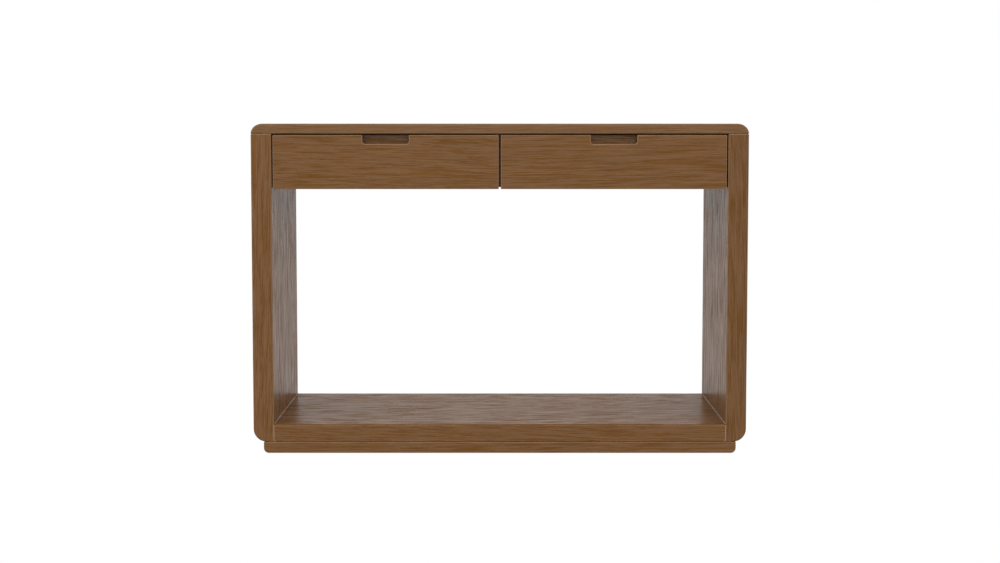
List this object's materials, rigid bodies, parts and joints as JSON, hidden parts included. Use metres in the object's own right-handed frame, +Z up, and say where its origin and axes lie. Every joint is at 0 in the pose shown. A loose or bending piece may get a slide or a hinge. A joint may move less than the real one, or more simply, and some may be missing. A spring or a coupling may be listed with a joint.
{
  "type": "console table",
  "caption": "Console table with a long top over thick slab sides, an open low shelf on a plinth, and side-by-side drawers with notched finger pulls under the top.",
  "frame": {"origin": "on the floor, under the middle of the table", "axes": "+X towards the table's right end as seen from the front, -Y out of the drawer fronts, +Z up"},
  "size_m": [1.2192, 0.4064, 0.8155],
  "materials": {
    "stained_wood": "brown stained oak with a satin clear coat",
    "drawer_wood": "clear finished light hardwood and plywood",
    "dowel_wood": "raw beech",
    "zinc_steel": "bright zinc plated rolled steel",
    "screw_steel": "zinc plated",
    "ball_cage": "black moulded cage that holds steel balls",
    "nylon": "dark brown moulded nylon"
  },
  "bodies": {
    "case": {"top_panel": "stained_wood", "left_side_panel": "stained_wood", "right_side_panel": "stained_wood", "bottom_shelf": "stained_wood", "case_floor": "stained_wood", "back_panel": "stained_wood", "centre_divider": "stained_wood", "plinth_front_rail": "stained_wood", "plinth_back_rail": "stained_wood", "plinth_left_rail": "stained_wood", "plinth_right_rail": "stained_wood", "plinth_left_cross_rail": "drawer_wood", "plinth_right_cross_rail": "drawer_wood", "plinth_corner_blocks": "drawer_wood", "joint_dowels": "dowel_wood", "case_screws": "screw_steel", "cabinet_rail_screws": "screw_steel", "floor_glides": "nylon", "left_drawer_left_cabinet_rail": "zinc_steel", "left_drawer_right_cabinet_rail": "zinc_steel", "right_drawer_left_cabinet_rail": "zinc_steel", "right_drawer_right_cabinet_rail": "zinc_steel"},
    "left_drawer": {"left_drawer_front": "stained_wood", "left_drawer_left_side": "drawer_wood", "left_drawer_right_side": "drawer_wood", "left_drawer_inner_front": "stained_wood", "left_drawer_back": "drawer_wood", "left_drawer_bottom": "drawer_wood", "left_drawer_front_screws": "screw_steel", "left_drawer_rail_screws": "screw_steel", "left_drawer_left_drawer_rail": "zinc_steel", "left_drawer_right_drawer_rail": "zinc_steel"},
    "left_middle_rails": {"left_drawer_left_middle_rail": "zinc_steel", "left_drawer_right_middle_rail": "zinc_steel"},
    "left_outer_ball_cages": {"left_drawer_left_outer_ball_cage": "ball_cage", "left_drawer_right_outer_ball_cage": "ball_cage"},
    "left_inner_ball_cages": {"left_drawer_left_inner_ball_cage": "ball_cage", "left_drawer_right_inner_ball_cage": "ball_cage"},
    "right_drawer": {"right_drawer_front": "stained_wood", "right_drawer_left_side": "drawer_wood", "right_drawer_right_side": "drawer_wood", "right_drawer_inner_front": "stained_wood", "right_drawer_back": "drawer_wood", "right_drawer_bottom": "drawer_wood", "right_drawer_front_screws": "screw_steel", "right_drawer_rail_screws": "screw_steel", "right_drawer_left_drawer_rail": "zinc_steel", "right_drawer_right_drawer_rail": "zinc_steel"},
    "right_middle_rails": {"right_drawer_left_middle_rail": "zinc_steel", "right_drawer_right_middle_rail": "zinc_steel"},
    "right_outer_ball_cages": {"right_drawer_left_outer_ball_cage": "ball_cage", "right_drawer_right_outer_ball_cage": "ball_cage"},
    "right_inner_ball_cages": {"right_drawer_left_inner_ball_cage": "ball_cage", "right_drawer_right_inner_ball_cage": "ball_cage"}
  },
  "joints": [
    {"name": "left_drawer_slide", "type": "slide", "parent": "case", "child": "left_drawer", "axis": [0, -1, 0], "range_m": [0, 0.35]},
    {"name": "left_middle_rails_slide", "type": "slide", "parent": "case", "child": "left_middle_rails", "axis": [0, -1, 0], "range_m": [0, 0.175]},
    {"name": "left_outer_ball_cages_slide", "type": "slide", "parent": "case", "child": "left_outer_ball_cages", "axis": [0, -1, 0], "range_m": [0, 0.0875]},
    {"name": "left_inner_ball_cages_slide", "type": "slide", "parent": "case", "child": "left_inner_ball_cages", "axis": [0, -1, 0], "range_m": [0, 0.2625]},
    {"name": "right_drawer_slide", "type": "slide", "parent": "case", "child": "right_drawer", "axis": [0, -1, 0], "range_m": [0, 0.35]},
    {"name": "right_middle_rails_slide", "type": "slide", "parent": "case", "child": "right_middle_rails", "axis": [0, -1, 0], "range_m": [0, 0.175]},
    {"name": "right_outer_ball_cages_slide", "type": "slide", "parent": "case", "child": "right_outer_ball_cages", "axis": [0, -1, 0], "range_m": [0, 0.0875]},
    {"name": "right_inner_ball_cages_slide", "type": "slide", "parent": "case", "child": "right_inner_ball_cages", "axis": [0, -1, 0], "range_m": [0, 0.2625]}
  ],
  "couplings": [
    {"joint": "left_middle_rails_slide", "follows": "left_drawer_slide", "ratio": 0.5},
    {"joint": "left_outer_ball_cages_slide", "follows": "left_drawer_slide", "ratio": 0.25},
    {"joint": "left_inner_ball_cages_slide", "follows": "left_drawer_slide", "ratio": 0.75},
    {"joint": "right_middle_rails_slide", "follows": "right_drawer_slide", "ratio": 0.5},
    {"joint": "right_outer_ball_cages_slide", "follows": "right_drawer_slide", "ratio": 0.25},
    {"joint": "right_inner_ball_cages_slide", "follows": "right_drawer_slide", "ratio": 0.75}
  ]
}
